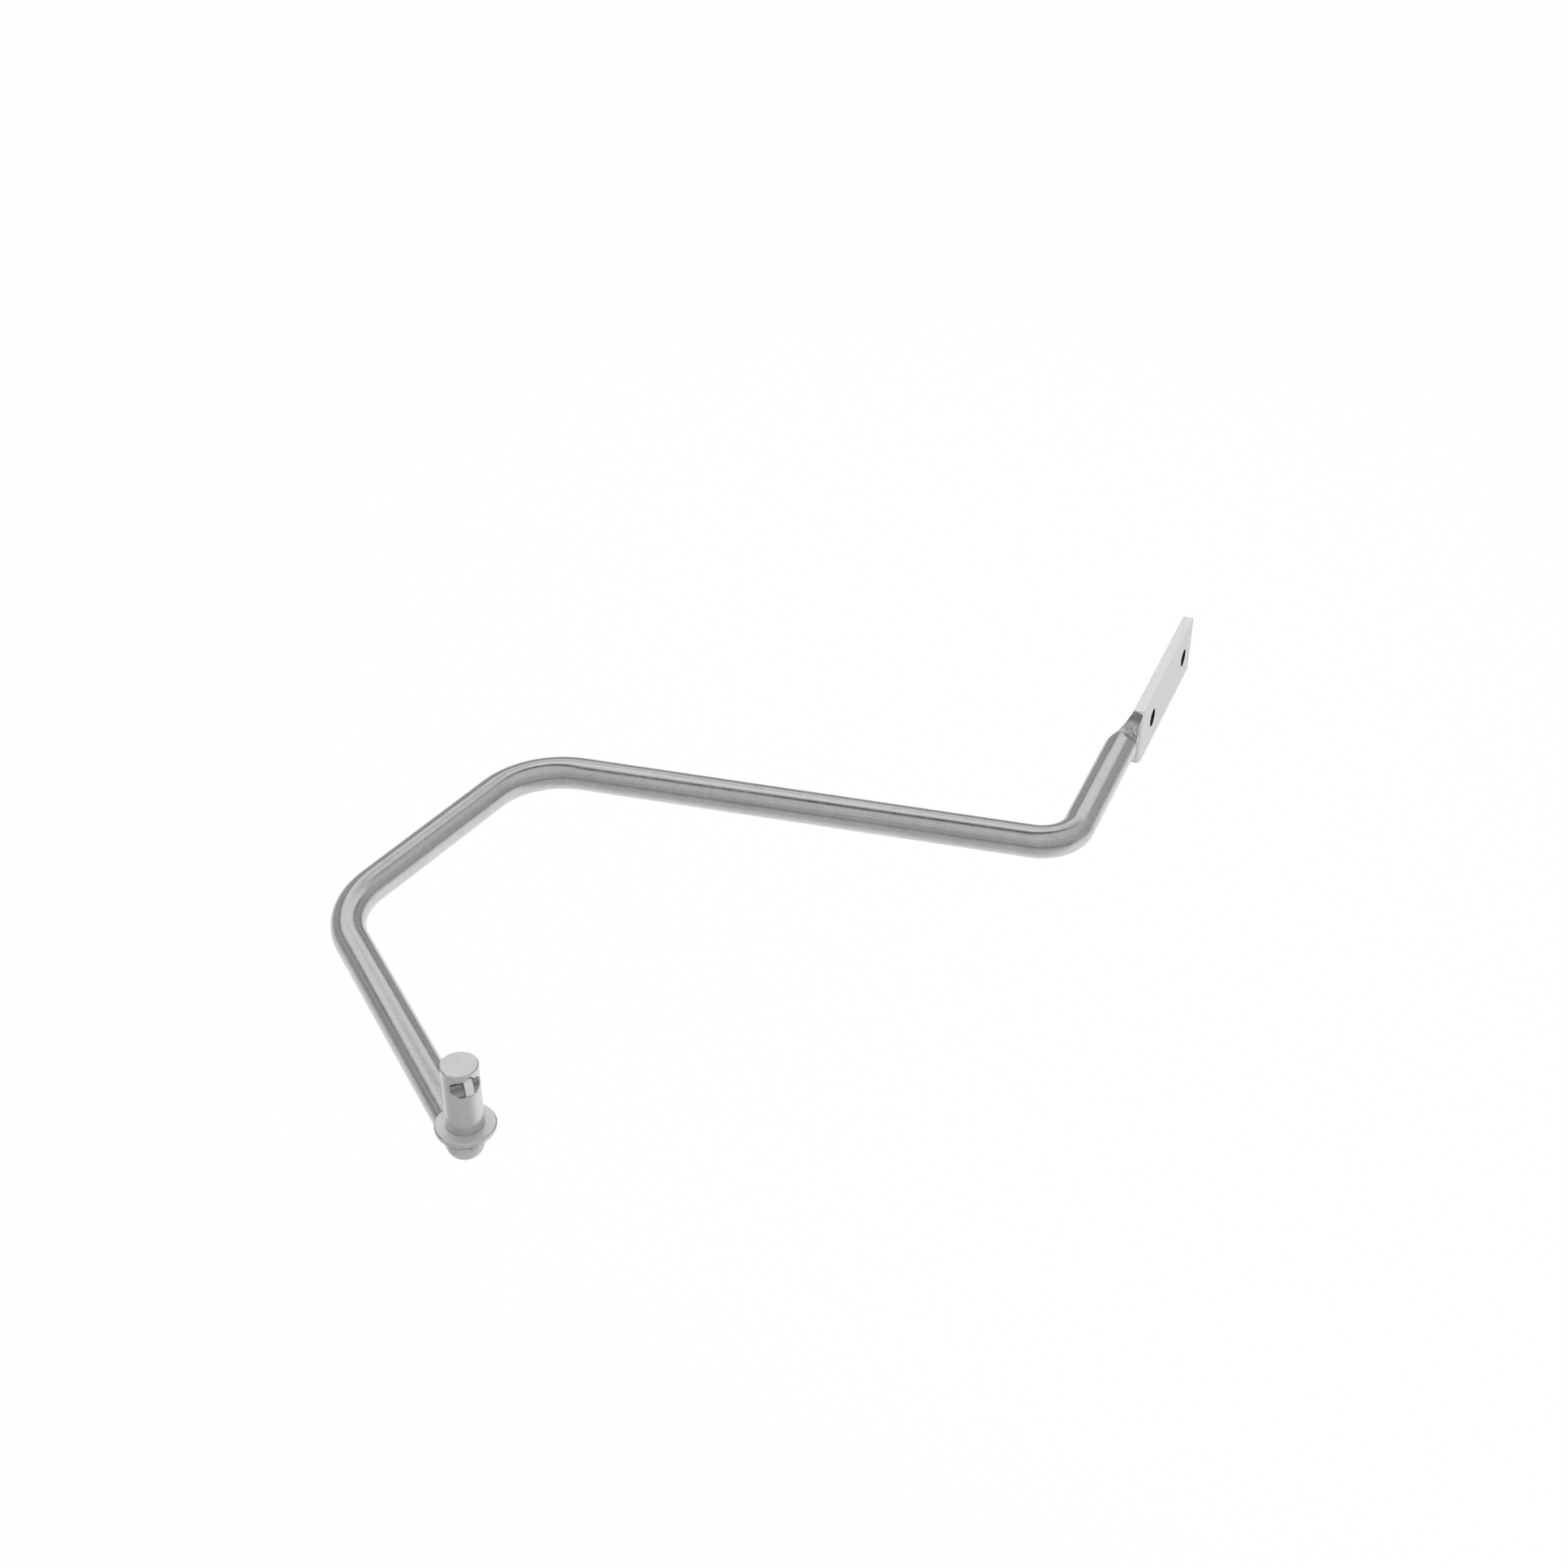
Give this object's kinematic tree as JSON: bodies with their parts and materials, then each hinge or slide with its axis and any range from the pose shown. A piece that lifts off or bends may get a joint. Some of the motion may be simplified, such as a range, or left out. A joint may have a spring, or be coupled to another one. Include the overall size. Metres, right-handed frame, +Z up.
{
  "type": "bent bar arm with mounting plate and locating pin",
  "caption": "Round bar arm bent in one plane, with a drilled mounting plate welded to one end and a grooved upright pin on a collar at the other.",
  "frame": {"origin": "middle of the two plate holes, on the plate's mounting face", "axes": "+X out of the mounting face, along the holes; +Y along the plate, away from the bar; +Z up, along the pin. The bar's centre line lies in a plane of constant Z, level with the holes"},
  "size_m": [0.229, 0.3793, 0.0437],
  "materials": {
    "bar_steel": "satin drawn stainless bar, bent cold",
    "plate_steel": "fine mottled mill finish",
    "turned_steel": "turned, satin",
    "key_steel": "ground, bright",
    "weld_metal": "weld metal, brushed but left rough"
  },
  "bodies": {
    "root": {"bent_bar": "bar_steel", "mounting_plate": "plate_steel", "plate_weld": "weld_metal", "thrust_collar": "turned_steel", "turned_pin": "turned_steel", "slot_key": "key_steel", "pin_weld": "weld_metal"}
  },
  "joints": []
}
